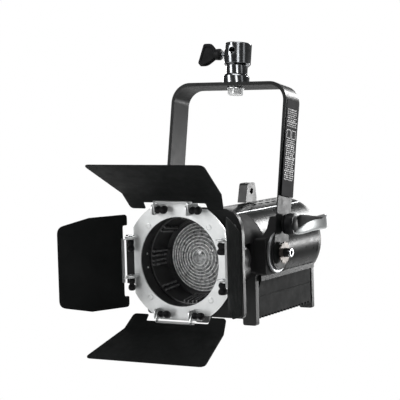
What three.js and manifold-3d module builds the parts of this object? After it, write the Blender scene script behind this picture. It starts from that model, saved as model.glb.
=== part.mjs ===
// A small LED fresnel spotlight with a four-leaf barn door, hung from a yoke and a spigot receiver.
// Millimetres, +Z up. The origin is the centre of the receiver's top face. The light leaves towards -Y.

import * as THREE from 'three';
import { mergeVertices } from 'three/addons/utils/BufferGeometryUtils.js';
import Module from 'manifold-3d';

const wasm = await Module();
wasm.setup();

// ---------- driving dimensions ----------
const GAP = 0.3;                 // clearance between touching pieces

const RECEIVER_TOP = 284;        // top of the receiver above the tilt axis
const YOKE_WIDTH = 177.5;        // across the outside of the arms
const YOKE_HEIGHT = 227.7;       // tilt axis to the top of the bar
const YOKE_BAR = 40;             // width of the flat bar
const YOKE_THICK = 4.7;
const YOKE_BEND = 27;            // outer bend radius

const HEAD_TILT = 10.7;          // nose-down angle of the head, degrees
const OPTIC_DROP = 1.5;          // optical axis below the tilt axis
const BODY_RADIUS = 60;          // outside of the arched casing
const SHEET = 2.5;               // casing wall
const BASE_HALF = 47;            // half width of the heatsink base
const BASE_BOTTOM = -90.5;
const FOOT_BOTTOM = -99;
const BULKHEAD_Y = [-3.5, 5.4];
const REAR_Y = [168.5, 175.5];
const FLANGE_Y = [-86, -79];
const FLANGE_HALF = 73;

const RING_Y = -122.6;           // front face of the barn-door ring
const RING_RADIUS = 80.8;
const APERTURE_RADIUS = 58.3;
const RING_FLAT = 68.4;          // the four flats cut off the ring
const HINGE_RADIUS = 68;         // leaf hinges: distance from the optical axis
const HINGE_Y = -131;
const EAR_A = -30;               // the two bracket ears along a hinge
const EAR_B = 21;

const LENS_RADIUS = 48.7;
const LENS_RIM_Y = -61.6;
const BOLT_RADIUS = 6;
const LEVER_Z = 38;              // lock lever above the tilt axis

// ---------- materials ----------
const finishes = {
  blackPaint: { color: 0x1b1c1d, roughness: 0.45, metalness: 0.2 },
  blackCast: { color: 0x17181a, roughness: 0.5, metalness: 0.3 },
  leafPaint: { color: 0x141615, roughness: 0.6, metalness: 0.1 },
  silver: { color: 0xb4b7b8, roughness: 0.35, metalness: 0.9 },
  chrome: { color: 0x8c9094, roughness: 0.15, metalness: 1 },
  bronze: { color: 0xa08670, roughness: 0.3, metalness: 0.9 },
  plastic: { color: 0x101112, roughness: 0.5, metalness: 0 },
  glass: { color: 0xd8dcdc, roughness: 0.05, metalness: 0 },
  board: { color: 0x2c4a38, roughness: 0.6, metalness: 0 },
  label: { color: 0x2a2a2a, roughness: 0.6, metalness: 0 },
};

// ---------- geometry helpers ----------
function toSolid(geometry) {
  const bare = geometry.clone();
  bare.deleteAttribute('normal');
  bare.deleteAttribute('uv');
  const merged = mergeVertices(bare, 1e-4);
  return new wasm.Manifold(new wasm.Mesh({
    numProp: 3,
    vertProperties: Float32Array.from(merged.attributes.position.array),
    triVerts: Uint32Array.from(merged.index.array),
  }));
}

function toGeometry(solid) {
  const mesh = solid.getMesh();
  const geometry = new THREE.BufferGeometry();
  geometry.setAttribute('position', new THREE.BufferAttribute(mesh.vertProperties, 3));
  geometry.setIndex(new THREE.BufferAttribute(mesh.triVerts, 1));
  geometry.computeVertexNormals();
  return geometry;
}

function cut(geometry, ...tools) {
  let solid = toSolid(geometry);
  for (const tool of tools) {
    solid = solid.subtract(toSolid(tool));
  }
  return toGeometry(solid);
}

function join(geometry, ...others) {
  let solid = toSolid(geometry);
  for (const other of others) {
    solid = solid.add(toSolid(other));
  }
  return toGeometry(solid);
}

function common(geometry, other) {
  return toGeometry(toSolid(geometry).intersect(toSolid(other)));
}

function box(x0, x1, y0, y1, z0, z1) {
  const geometry = new THREE.BoxGeometry(x1 - x0, y1 - y0, z1 - z0);
  return geometry.translate((x0 + x1) / 2, (y0 + y1) / 2, (z0 + z1) / 2);
}

// Cylinders between two stations on an axis, centred on the other two coordinates.
function rodX(radius, x0, x1, y, z, sides = 16) {
  const geometry = new THREE.CylinderGeometry(radius, radius, x1 - x0, sides);
  return geometry.rotateZ(-Math.PI / 2).translate((x0 + x1) / 2, y, z);
}

function rodY(radius, y0, y1, x, z, sides = 16) {
  const geometry = new THREE.CylinderGeometry(radius, radius, y1 - y0, sides);
  return geometry.translate(x, (y0 + y1) / 2, z);
}

function rodZ(radius, z0, z1, x, y, sides = 16) {
  const geometry = new THREE.CylinderGeometry(radius, radius, z1 - z0, sides);
  return geometry.rotateX(Math.PI / 2).translate(x, y, (z0 + z1) / 2);
}

// Turned pieces: rows of [radius, station] about the Y axis or the Z axis.
function turnedY(rows, sides = 32) {
  const points = rows.map(([r, s]) => new THREE.Vector2(r, s));
  if (THREE.ShapeUtils.area(points) < 0) {
    points.reverse();
  }
  return new THREE.LatheGeometry(points, sides);
}

function turnedZ(rows, sides = 24) {
  return turnedY(rows, sides).rotateX(Math.PI / 2);
}

function turnedX(rows, sides = 20) {
  return turnedY(rows, sides).rotateZ(-Math.PI / 2);
}

// A polygon whose corners are rounded; each corner is [u, v] or [u, v, radius].
function rounded(corners, radius = 0) {
  const shape = new THREE.Shape();
  const count = corners.length;
  corners.forEach((corner, i) => {
    const here = new THREE.Vector2(corner[0], corner[1]);
    const before = new THREE.Vector2(...corners[(i + count - 1) % count].slice(0, 2));
    const after = new THREE.Vector2(...corners[(i + 1) % count].slice(0, 2));
    const r = corner[2] ?? radius;
    const start = before.clone().sub(here).setLength(r).add(here);
    const end = after.clone().sub(here).setLength(r).add(here);
    if (i === 0) {
      shape.moveTo(start.x, start.y);
    } else {
      shape.lineTo(start.x, start.y);
    }
    if (r > 0) {
      shape.quadraticCurveTo(here.x, here.y, end.x, end.y);
    }
  });
  shape.closePath();
  return shape;
}

function extruded(shape, depth, curveSegments) {
  return new THREE.ExtrudeGeometry(shape, { depth, bevelEnabled: false, curveSegments });
}

// A shape drawn in (Y, Z), extruded along X.
function alongX(shape, x0, x1, curveSegments = 5) {
  const turn = new THREE.Matrix4().makeBasis(
    new THREE.Vector3(0, 1, 0), new THREE.Vector3(0, 0, 1), new THREE.Vector3(1, 0, 0));
  return extruded(shape, x1 - x0, curveSegments).applyMatrix4(turn).translate(x0, 0, 0);
}

// A shape drawn in (X, Z), extruded along Y.
function alongY(shape, y0, y1, curveSegments = 5) {
  return extruded(shape, y1 - y0, curveSegments).rotateX(Math.PI / 2).translate(0, y1, 0);
}

function mirroredX(geometry) {
  const flipped = toSolid(geometry).mirror([1, 0, 0]);
  return toGeometry(flipped);
}

function radians(degrees) {
  return THREE.MathUtils.degToRad(degrees);
}

// An arched wall in (X, Z) between two radii and two angles in degrees, counted from +X.
function archShape(inner, outer, from, to) {
  const shape = new THREE.Shape();
  shape.absarc(0, 0, outer, radians(from), radians(to), false);
  shape.absarc(0, 0, inner, radians(to), radians(from), true);
  shape.closePath();
  return shape;
}

// Arch above, narrower straight-sided base below: the outline of the bulkheads.
function keyhole(radius, half, bottom) {
  const meet = Math.asin(half / radius);
  const shape = new THREE.Shape();
  shape.moveTo(-half, bottom);
  shape.lineTo(half, bottom);
  shape.absarc(0, 0, radius, meet - Math.PI / 2, 1.5 * Math.PI - meet, false);
  shape.closePath();
  return shape;
}

// ---------- scene graph ----------
const fresnel = new THREE.Group();

function addTo(group, name, geometry, finish) {
  const mesh = new THREE.Mesh(geometry, new THREE.MeshStandardMaterial(finishes[finish]));
  mesh.name = name;
  group.add(mesh);
  return mesh;
}

const tiltFrame = new THREE.Group();
tiltFrame.position.z = -RECEIVER_TOP;
fresnel.add(tiltFrame);

const head = new THREE.Group();
head.rotation.x = radians(HEAD_TILT);
tiltFrame.add(head);

const optic = new THREE.Group();
optic.position.z = -OPTIC_DROP;
head.add(optic);

// ---------- receiver and hanging hardware ----------
function buildReceiver() {
  const boltTop = 252;
  const neckBottom = YOKE_HEIGHT + 13.3;
  const screwZ = RECEIVER_TOP - 14;
  const body = turnedZ([
    [0, boltTop], [BOLT_RADIUS + GAP, boltTop], [BOLT_RADIUS + GAP, neckBottom],
    [14.8, neckBottom], [14.8, 253], [16.2, 253], [18.6, 255.6],
    [18.6, RECEIVER_TOP - 1], [17.6, RECEIVER_TOP], [8.2, RECEIVER_TOP], [8.2, 262], [0, 262],
  ]);
  const sideHole = rodX(4.3, -20, -6, 0, screwZ, 12);
  const frontHole = rodX(4.5, -20, -6, 0, screwZ + 2, 12).rotateZ(Math.PI / 2);
  addTo(tiltFrame, 'spigot_receiver', cut(body, sideHole, frontHole), 'chrome');

  const collar = turnedZ([
    [BOLT_RADIUS + GAP, YOKE_HEIGHT + GAP], [18.1, YOKE_HEIGHT + GAP], [18.1, 238],
    [16, neckBottom - GAP], [BOLT_RADIUS + GAP, neckBottom - GAP], [BOLT_RADIUS + GAP, YOKE_HEIGHT + GAP],
  ]);
  addTo(tiltFrame, 'spacer_collar', collar, 'chrome');

  const underside = YOKE_HEIGHT - YOKE_THICK - GAP;
  const washer = turnedZ([
    [BOLT_RADIUS + GAP, underside - 1.8], [12, underside - 1.8], [12, underside],
    [BOLT_RADIUS + GAP, underside], [BOLT_RADIUS + GAP, underside - 1.8],
  ]);
  addTo(tiltFrame, 'hanger_washer', washer, 'silver');

  const headTop = underside - 1.8 - GAP;
  const hex = new THREE.CylinderGeometry(10.9, 10.9, 7.5, 6).rotateX(Math.PI / 2);
  hex.rotateZ(radians(12)).translate(0, 0, headTop - 3.75);
  const shank = rodZ(BOLT_RADIUS, headTop - 1, boltTop - GAP, 0, 0);
  addTo(tiltFrame, 'hanger_bolt', join(hex, shank), 'silver');

  // T-handle clamp screw, its wing turned a little off vertical
  const handle = new THREE.Group();
  handle.position.z = screwZ;
  handle.rotation.x = radians(-22);
  tiltFrame.add(handle);
  const stub = rodX(4, -30, -9, 0, 0, 16);
  const hub = turnedX([[0, -38], [6, -38], [8, -33], [8, -27.5], [6, -25], [0, -25]], 20);
  const wing = alongY(rounded([[-57, -16.5, 3], [-44, -16.5, 4], [-33, -6, 2], [-33, 6, 2], [-44, 16.5, 4],
    [-57, 16.5, 3]]), -3.2, 3.2, 4);
  addTo(handle, 'clamp_screw', join(stub, hub, wing), 'plastic');
}

// ---------- yoke ----------
function buildYoke() {
  const half = YOKE_WIDTH / 2;
  const inner = half - YOKE_THICK;
  const innerTop = YOKE_HEIGHT - YOKE_THICK;
  const outerBend = YOKE_BEND;
  const innerBend = YOKE_BEND - YOKE_THICK;
  const end = -YOKE_BAR / 2;
  const outline = new THREE.Shape();
  outline.moveTo(half, end);
  outline.absarc(half - outerBend, YOKE_HEIGHT - outerBend, outerBend, 0, Math.PI / 2, false);
  outline.absarc(-half + outerBend, YOKE_HEIGHT - outerBend, outerBend, Math.PI / 2, Math.PI, false);
  outline.lineTo(-half, end);
  outline.lineTo(-inner, end);
  outline.absarc(-inner + innerBend, innerTop - innerBend, innerBend, Math.PI, Math.PI / 2, true);
  outline.absarc(inner - innerBend, innerTop - innerBend, innerBend, Math.PI / 2, 0, true);
  outline.lineTo(inner, end);
  outline.closePath();
  const strap = alongY(outline, -YOKE_BAR / 2, YOKE_BAR / 2, 6);

  const side = new THREE.Shape();
  side.absarc(0, 0, YOKE_BAR / 2, Math.PI, 2 * Math.PI, false);
  side.lineTo(YOKE_BAR / 2, YOKE_HEIGHT + 1);
  side.lineTo(-YOKE_BAR / 2, YOKE_HEIGHT + 1);
  side.closePath();
  const envelope = alongX(side, -half - 1, half + 1, 10);

  const holes = [
    rodX(BOLT_RADIUS + 0.6, -half - 1, half + 1, 0, 0),
    rodX(5.2, inner - 1, half + 1, 0, LEVER_Z, 12),
    rodZ(BOLT_RADIUS + 0.6, innerTop - 1, YOKE_HEIGHT + 1, 0, 0),
  ];
  addTo(tiltFrame, 'yoke', cut(common(strap, envelope), ...holes), 'blackPaint');

  const label = alongX(rounded([[-17, 80], [17, 80], [17, 203], [-17, 203]], 2), half + 0.1, half + 0.5, 2);
  addTo(tiltFrame, 'arm_label', label, 'label');

  // friction discs sit between each arm and the head's pivot disc
  for (const [side, sign] of [['right', 1], ['left', -1]]) {
    const disc = turnedX([[BOLT_RADIUS + 0.6, inner - 2.7], [23.5, inner - 2.7], [23.5, inner - GAP],
      [BOLT_RADIUS + 0.6, inner - GAP], [BOLT_RADIUS + 0.6, inner - 2.7]], 22);
    addTo(tiltFrame, `friction_disc_${side}`, sign > 0 ? disc : mirroredX(disc), 'plastic');
  }
  return half;
}

// ---------- tilt-lock lever ----------
function buildLever(armFace) {
  const clampPad = join(
    rodX(8, armFace - YOKE_THICK - 5.3, armFace - YOKE_THICK - GAP, 0, LEVER_Z, 14),
    rodX(4.8, armFace - YOKE_THICK - 2, armFace + 5.5, 0, LEVER_Z, 12));
  const start = armFace + GAP;
  const hub = turnedX([
    [5.1, start], [13, start], [13, start + 2.5], [11.5, start + 2.5], [11.5, start + 4], [14.5, start + 4],
    [14.5, start + 13], [11, start + 17], [0, start + 17], [0, start + 9], [5.1, start + 9], [5.1, start],
  ], 18).translate(0, 0, LEVER_Z);
  addTo(tiltFrame, 'clamp_stud', clampPad, 'blackPaint');

  // the black shoulder that carries the paddle
  const shoulder = alongX(rounded([[-8, LEVER_Z + 3], [-6, LEVER_Z + 13, 3], [30, LEVER_Z + 19, 2],
    [44, LEVER_Z + 20, 1], [26, LEVER_Z + 6, 6], [12, LEVER_Z - 13, 3], [0, LEVER_Z - 13, 3]]),
  start + 6, start + 15, 3);

  // the paddle sweeps outwards and back, and its lower edge is hollowed
  const sweep = rounded([[start + 15.5, -2], [start + 19.5, -2], [start + 19, 26, 8], [start + 32, 72, 2],
    [start + 28, 73, 2], [start + 15.5, 30, 8]]);
  const plan = extruded(sweep, 60, 4).translate(0, 0, LEVER_Z - 20);
  const face = alongX(rounded([[-10, LEVER_Z - 10, 3], [10, LEVER_Z - 14, 5], [34, LEVER_Z + 1, 8],
    [74, LEVER_Z + 4, 3], [75, LEVER_Z + 23, 2], [40, LEVER_Z + 19, 6], [16, LEVER_Z + 4, 8],
    [-8, LEVER_Z + 6, 3]]), start, start + 40, 3);
  addTo(tiltFrame, 'lock_lever', join(hub, shoulder, common(plan, face)), 'plastic');
}

// ---------- head casing ----------
function buildCasing() {
  // square front flange with a round opening for the barrel
  const flange = alongY(rounded([[-FLANGE_HALF, -75.5, 6], [FLANGE_HALF, -75.5, 6], [FLANGE_HALF, 67.5, 34],
    [-FLANGE_HALF, 67.5, 34]]), ...FLANGE_Y, 5);
  addTo(optic, 'front_flange', cut(flange, rodY(62, -90, -70, 0, 0, 36)), 'blackCast');

  const wallInner = BODY_RADIUS - SHEET;
  const hood = alongY(archShape(wallInner, BODY_RADIUS, 16, 164), FLANGE_Y[1] + GAP, BULKHEAD_Y[1] - 0.2, 18);
  addTo(optic, 'front_hood', hood, 'blackCast');

  const shellY = [BULKHEAD_Y[1] + GAP, REAR_Y[0] - GAP];
  const rightShell = alongY(archShape(wallInner, BODY_RADIUS, -36, 66), ...shellY, 13);
  const rail = box(47.4, 51.2, ...shellY, -39.5, -32.5);
  addTo(optic, 'right_shell', join(rightShell, rail), 'blackPaint');
  addTo(optic, 'left_shell', mirroredX(join(rightShell, rail)), 'blackPaint');

  const strip = alongY(archShape(BODY_RADIUS + GAP, BODY_RADIUS + 1.8, 63, 117), -30, shellY[1], 8);
  addTo(optic, 'top_strip', strip, 'blackPaint');

  // trapezoid eye for the safety bond
  const eye = alongX(rounded([[50, 62.2], [83, 62.2], [78.5, 88.5, 4], [57, 88.5, 4]]), -6.5, 6.5, 4);
  addTo(optic, 'safety_eye', cut(eye, rodX(4.2, -8, 8, 68, 77, 14)), 'blackCast');

  // bulkheads stand on two feet each
  const feet = [-1, 1].map((sign) => {
    const x = sign * (BASE_HALF - 10.25);
    return [x - 10.25, x + 10.25];
  });
  function bulkhead(radius, [y0, y1]) {
    const plate = alongY(keyhole(radius, BASE_HALF, BASE_BOTTOM), y0, y1, 20);
    const blocks = feet.map(([x0, x1]) => alongY(rounded([[x0, BASE_BOTTOM + 2], [x0, FOOT_BOTTOM, 3],
      [x1, FOOT_BOTTOM, 3], [x1, BASE_BOTTOM + 2]]), y0, y1, 3));
    return join(plate, ...blocks);
  }
  const front = cut(bulkhead(wallInner - GAP, BULKHEAD_Y), rodY(46, -10, 10, 0, 0, 28));
  addTo(optic, 'front_bulkhead', front, 'blackCast');

  const vents = [-24, -12, 0, 12, 24].map((x) => box(x - 2.2, x + 2.2, 160, 180, -12, 20));
  const rearHoles = [
    rodY(4.5, 160, 180, 0, -30, 16),
    box(-36.5, -15.5, 160, 180, -82.5, -61.5),
    box(-36.5, -15.5, 160, 180, -57.5, -46.5),
    rodY(9.8, 160, 180, 6, -66),
    rodY(9.8, 160, 180, 32, -66),
    ...[-18, -6, 6, 18].map((x) => rodY(3.6, 160, 180, x, 28, 10)),
  ];
  addTo(optic, 'rear_plate', cut(bulkhead(BODY_RADIUS, REAR_Y), ...vents, ...rearHoles), 'blackCast');

  // finned base: the slots between the fins are open below and show only as a serrated edge at the sides
  const finY = [BULKHEAD_Y[1] + GAP, REAR_Y[0] - 4.5];
  const top = -36.8;
  const base = alongX(rounded([[finY[0], BASE_BOTTOM], [finY[1], BASE_BOTTOM], [finY[1], top],
    [finY[0] + 9, top], [finY[0], top - 12]]), -BASE_HALF, BASE_HALF, 1);
  const slots = [];
  const pitch = 9.4;
  for (let y = finY[0] + 6; y < finY[1] - 6; y += pitch) {
    slots.push(box(-BASE_HALF + 4, BASE_HALF - 4, y, y + pitch / 2, BASE_BOTTOM - 1, -66));
    slots.push(box(-BASE_HALF - 1, BASE_HALF + 1, y, y + pitch / 2, BASE_BOTTOM - 1, BASE_BOTTOM + 3));
  }
  const grooves = [-BASE_HALF, BASE_HALF].map((side) => box(side - 0.8, side + 0.8, 0, 180, -61.5, -60));
  addTo(optic, 'heatsink', cut(base, ...slots, ...grooves), 'blackPaint');
}

// ---------- pivot hardware on the head ----------
function buildPivots(armFace) {
  const armInside = armFace - YOKE_THICK;
  for (const [side, sign] of [['right', 1], ['left', -1]]) {
    const place = (geometry) => (sign > 0 ? geometry : mirroredX(geometry));
    const discFace = armInside - 3;
    const block = alongX(rounded([[-30, -28, 4], [30, -28, 4], [30, 46, 4], [14, 46, 3], [6, 31], [-10, 21],
      [-30, 21, 3]]), 46, discFace - 4, 3);
    const disc = rodX(27, discFace - 4.5, discFace, 0, 0, 28);
    const bodyCut = rodY(BODY_RADIUS + 0.8, -40, 40, 0, -OPTIC_DROP, 48);
    const boltHole = rodX(BOLT_RADIUS + GAP, 40, 120, 0, 0);
    addTo(head, `pivot_block_${side}`, place(cut(join(block, disc), bodyCut, boltHole)), 'blackCast');

    const boltEnd = 100.7;
    const shaft = rodX(BOLT_RADIUS, 63, boltEnd, 0, 0);
    const socket = new THREE.CylinderGeometry(3.8, 3.8, 12, 6).rotateZ(Math.PI / 2).translate(boltEnd, 0, 0);

    // toothed washer fixed on the bolt
    const teeth = 12;
    const rim = new THREE.Shape();
    for (let i = 0; i < 2 * teeth; i += 1) {
      const angle = Math.PI * i / teeth;
      const radius = i % 2 ? 12.6 : 14.8;
      const point = [radius * Math.cos(angle), radius * Math.sin(angle)];
      if (i === 0) {
        rim.moveTo(...point);
      } else {
        rim.lineTo(...point);
      }
    }
    rim.closePath();
    const washer = alongX(rim, armFace + GAP, armFace + 2.1);
    addTo(head, `pivot_bolt_${side}`, place(cut(join(shaft, washer), socket)), 'bronze');
  }
}

// ---------- optics ----------
function buildOptics() {
  const back = LENS_RIM_Y + 7.1;
  const barrel = turnedY([
    [64.2, -97.5], [57, -97.5], [52, -66.3], [49.2, -66.3], [49.2, back], [46, back], [46, -5], [50.5, -5],
    [50.5, -60], [56.6, -62], [56.6, -79.5], [61.5, -80.5], [61.5, -90], [66.5, -90], [66.5, -113],
    [64.2, -113], [64.2, -97.5],
  ], 40);

  // stepped dome: each ring rises towards the middle and drops at its inner edge
  const rings = 5;
  const core = 9;
  const outer = 45.5;
  const rows = [[0, back - GAP], [LENS_RADIUS, back - GAP], [LENS_RADIUS, LENS_RIM_Y], [outer, LENS_RIM_Y]];
  const dome = 9;
  const height = (r) => LENS_RIM_Y - dome * (1 - (r / outer) ** 2);
  for (let i = 0; i < rings; i += 1) {
    const radius = outer - (i + 1) * (outer - core) / rings;
    rows.push([radius + 0.4, height(radius) - 1.2]);
    rows.push([radius, height(radius)]);
  }
  rows.push([core / 2, height(0) - 0.6], [0, height(0) - 1]);
  addTo(optic, 'fresnel_lens', turnedY(rows, 28), 'glass');

  const retainer = turnedY([[46.3, -66], [48.9, -66], [48.9, LENS_RIM_Y - GAP], [46.3, LENS_RIM_Y - GAP],
    [46.3, -66]], 28);
  addTo(optic, 'lens_retainer', retainer, 'blackPaint');

  // domed bosses on both flanks of the barrel
  const dish = turnedX([[0, 46], [18, 46], [18, 56], [16, 60], [10, 62.5], [0, 63.5]], 18)
    .translate(0, -54, -2.5);
  const boss = cut(dish, rodY(49.6, -90, 0, 0, 0, 40));
  addTo(optic, 'lens_barrel', join(barrel, boss, mirroredX(boss)), 'blackCast');
}

// ---------- barn door ----------
// A hinge station is drawn upright, hinge along X, and turned about the optical axis to its side.
const stations = [
  { name: 'top', turn: 0, hand: 1, open: 57, large: true },
  { name: 'bottom', turn: 180, hand: -1, open: 46, large: true },
  { name: 'right', turn: 90, hand: 1, open: 34.5, large: false },
  { name: 'left', turn: -90, hand: -1, open: 21.5, large: false },
];
const TAB = 1.6;
const WEB_END = 11.5;             // how far a bracket's strip reaches out from its hinge

// Keeps a piece inside |x| running from a to b whichever way round the station is handed.
function span(hand, a, b) {
  return hand > 0 ? [a, b] : [-b, -a];
}

function ringTabs(hand) {
  return [EAR_A, EAR_B].map((ear) => {
    const [x0, x1] = span(hand, ear - TAB - 0.4, ear - 0.4);
    const plate = alongX(rounded([[RING_Y + 1, 61], [RING_Y + 1, 75], [HINGE_Y - 6.5, 75, 5],
      [HINGE_Y - 6.5, 61, 5]]), x0, x1, 3);
    return cut(plate, rodX(2.3, x0 - 1, x1 + 1, HINGE_Y, HINGE_RADIUS, 10));
  });
}

function buildRing() {
  const disc = turnedY([[APERTURE_RADIUS, RING_Y], [RING_RADIUS, RING_Y], [RING_RADIUS, RING_Y + 2],
    [APERTURE_RADIUS, RING_Y + 2], [APERTURE_RADIUS, RING_Y]], 40);
  const square = box(-RING_FLAT, RING_FLAT, -140, -100, -RING_FLAT, RING_FLAT);
  let plate = common(disc, square);
  for (const { turn, hand } of stations) {
    const [x0, x1] = span(hand, -33, 31);
    const lug = box(x0, x1, RING_Y, RING_Y + 2, RING_FLAT - 6, 76);
    plate = join(plate, ...[lug, ...ringTabs(hand)].map((piece) => piece.rotateY(radians(turn))));
  }
  addTo(optic, 'barn_door_ring', plate, 'silver');
  const sleeveEnd = RING_Y + 2 + GAP;
  const sleeve = turnedY([[59.3, -99], [59.3, sleeveEnd], [63.8, sleeveEnd], [63.8, -99], [59.3, -99]], 36);
  addTo(optic, 'ring_sleeve', sleeve, 'blackCast');
}

// A leaf is bent from one sheet. u runs away from the hinge, n is the outer side of the sheet.
function leafSheet(large) {
  const offset = large ? 4.5 : 5.5;
  const bendAt = large ? 22 : 60.5;
  const reach = large ? 101.5 : 106.5;
  const bend = radians(large ? 26 : -7.5);
  const near = large ? -2.3 : 0.8;
  const thick = 1.2;
  const flap = reach - bendAt;
  // the sheet's section in (u, n)
  const corner = thick * Math.tan(bend / 2);
  const tip = [bendAt + flap * Math.cos(bend), offset - flap * Math.sin(bend)];
  const section = new THREE.Shape();
  section.moveTo(near, offset);
  section.lineTo(bendAt, offset);
  section.lineTo(...tip);
  section.lineTo(tip[0] + thick * Math.sin(bend), tip[1] + thick * Math.cos(bend));
  section.lineTo(bendAt + corner, offset + thick);
  section.lineTo(near, offset + thick);
  section.closePath();
  const sheet = extruded(section, 200, 1).translate(0, 0, -100);
  // sheet axes to station axes: u to -Y (forwards), n to +Z, width to -X
  sheet.applyMatrix4(new THREE.Matrix4().makeBasis(
    new THREE.Vector3(0, -1, 0), new THREE.Vector3(0, 0, 1), new THREE.Vector3(-1, 0, 0)));

  // planform in (X, u): shoulders beside a notch for the bracket, wide or tapered flap
  const [w0, w1, w2] = large ? [69, 74, 88] : [60.8, 60.8, 51.3];
  const notch = 46.5;
  const far = tip[0];
  const outline = rounded([[-w0, near, 5], [-notch, near, 2], [-notch, 8, 2], [notch, 8, 2], [notch, near, 2],
    [w0, near, 5], [w1, bendAt, 1], [w2, far + 1, 9], [-w2, far + 1, 9], [-w1, bendAt, 1]]);
  const prism = extruded(outline, 140, 3).translate(0, 0, -70);
  prism.applyMatrix4(new THREE.Matrix4().makeBasis(
    new THREE.Vector3(-1, 0, 0), new THREE.Vector3(0, -1, 0), new THREE.Vector3(0, 0, 1)));
  return common(sheet, prism);
}

// The hinge bracket is riveted to the leaf, so the two are one piece.
function bracketPiece(hand, large) {
  const [w0, w1] = span(hand, EAR_A, EAR_B + 7);
  const web = box(w0, w1, -WEB_END, -8.3, 2.7, large ? 4.6 : 5.6);
  const ears = [EAR_A, EAR_B].map((ear) => {
    const [x0, x1] = span(hand, ear, ear + TAB);
    const outline = rounded([[-WEB_END, 3.5], [-WEB_END, 0, 2.5], [5, -5.5, 4], [5, 3.5, 4], [-8, 4.2]]);
    const plate = alongX(outline, x0, x1, 2);
    return cut(plate, rodX(2.3, x0 - 1, x1 + 1, 0, 0, 10));
  });
  return join(web, ...ears);
}

function wingScrew(hand, ear) {
  const lobes = turnedX([
    [0, 0.4], [4.4, 0.4], [5.8, 2.5], [5.8, 6], [4, 7.6], [6.4, 9.5], [6.4, 14.5], [4.6, 16.4], [0, 16.4],
  ], 10).scale(1, 1, 0.76).rotateX(radians(35));
  const shaft = rodX(2, -4.2, 2, 0, 0, 8);
  const piece = join(lobes, shaft);
  const seated = (hand > 0 ? piece : mirroredX(piece));
  return seated.translate(hand * (ear + TAB), 0, 0);
}

function buildLeaves() {
  for (const { name, turn, hand, open, large } of stations) {
    const side = new THREE.Group();
    side.rotation.y = radians(turn);
    optic.add(side);
    const hinge = new THREE.Group();
    hinge.position.set(0, HINGE_Y, HINGE_RADIUS);
    side.add(hinge);
    const swing = new THREE.Group();
    swing.rotation.x = -radians(open);
    hinge.add(swing);
    addTo(swing, `leaf_${name}`, join(leafSheet(large), bracketPiece(hand, large)), 'leafPaint');
    addTo(hinge, `wing_screw_${name}_a`, wingScrew(hand, EAR_A), 'plastic');
    addTo(hinge, `wing_screw_${name}_b`, wingScrew(hand, EAR_B), 'plastic');
  }
}

// ---------- inside the head ----------
function buildInside() {
  const rodX0 = 36;
  const rodZ0 = -24;
  const screwZ = -30;
  const rails = [BULKHEAD_Y[1] + GAP, REAR_Y[0] - GAP];
  addTo(optic, 'guide_rod_right', rodY(3, ...rails, rodX0, rodZ0, 12), 'chrome');
  addTo(optic, 'guide_rod_left', rodY(3, ...rails, -rodX0, rodZ0, 12), 'chrome');
  addTo(optic, 'lead_screw', rodY(3.5, rails[0], 178, 0, screwZ, 12), 'chrome');

  const carriage = alongY(rounded([[-44, -30.5, 3], [-8, -30.5], [-8, -35.5, 1], [8, -35.5, 1], [8, -30.5],
    [44, -30.5, 3], [44, 28, 4], [-44, 28, 4]]), 40, 46, 2);
  const bores = [rodY(3.4, 30, 50, rodX0, rodZ0, 12), rodY(3.4, 30, 50, -rodX0, rodZ0, 12),
    rodY(4, 30, 50, 0, screwZ, 12)];
  const fins = [];
  for (let x = -20; x <= 20; x += 8) {
    fins.push(box(x - 1, x + 1, 45, 66, -16, 24));
  }
  addTo(optic, 'led_carriage', join(cut(carriage, ...bores), ...fins), 'silver');
  addTo(optic, 'led_board', join(rodY(20, 37.7, 39.7, 0, 0, 24), box(-7, 7, 35.9, 38, -7, 7)), 'board');
  const cup = turnedY([[11, 37.2], [11.5, 34], [24, 22], [25.5, 22], [13, 35.5], [13, 37.2], [11, 37.2]], 20);
  addTo(optic, 'collimator_cup', cup, 'chrome');

  addTo(optic, 'driver_box', box(-37, 37, 106, 134, -17, 35), 'silver');
  const frame = cut(box(-30, 30, 142, 156, -25, 35), rodY(28, 140, 158, 0, 5, 20));
  const spokes = [box(-29, 29, 142, 143.5, 3, 7), box(-2, 2, 142, 143.5, -24, 34)];
  addTo(optic, 'fan_frame', join(frame, ...spokes), 'plastic');
  const blades = [];
  for (let i = 0; i < 5; i += 1) {
    const blade = box(8, 26, -4, 4, -0.8, 0.8).rotateX(radians(38)).rotateY(radians(72 * i));
    blades.push(blade.translate(0, 149.5, 5));
  }
  addTo(optic, 'fan_rotor', join(rodY(11, 144.2, 155, 0, 5), ...blades), 'plastic');
}

// ---------- rear controls and sockets ----------
function buildRear() {
  const face = REAR_Y[1] + GAP;
  const knob = turnedY([[0, 178.4], [12, 178.4], [12.5, 180], [12, 194], [10.5, 196], [0, 196]], 16);
  addTo(optic, 'zoom_knob', knob.translate(0, 0, -30), 'plastic');
  const window = alongY(rounded([[-21, 36], [21, 36], [21, 50], [-21, 50]], 1.5), face, face + 2, 2);
  addTo(optic, 'display', window, 'plastic');
  [-18, -6, 6, 18].forEach((x, i) => {
    const button = rodY(3.2, 164, 179, x, 28, 12);
    addTo(optic, `menu_button_${i + 1}`, button, 'plastic');
  });
  const rocker = alongX(rounded([[167, -57], [174, -57], [178.6, -57, 0.5], [176.3, -52], [178.6, -47, 0.5],
    [174, -47], [167, -47]]), -36, -16, 1);
  addTo(optic, 'power_switch', rocker, 'plastic');
  const inlet = cut(box(-36, -16, 166, 178, -82, -62), box(-33.5, -18.5, 169, 180, -79.5, -64.5));
  addTo(optic, 'power_inlet', inlet, 'plastic');
  [['data_in', 6], ['data_out', 32]].forEach(([name, x]) => {
    const shell = turnedY([[0, 166], [9.4, 166], [9.4, 179], [7.4, 179], [7.4, 170], [0, 170]], 14);
    addTo(optic, name, shell.translate(x, 0, -66), 'chrome');
  });
}

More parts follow.
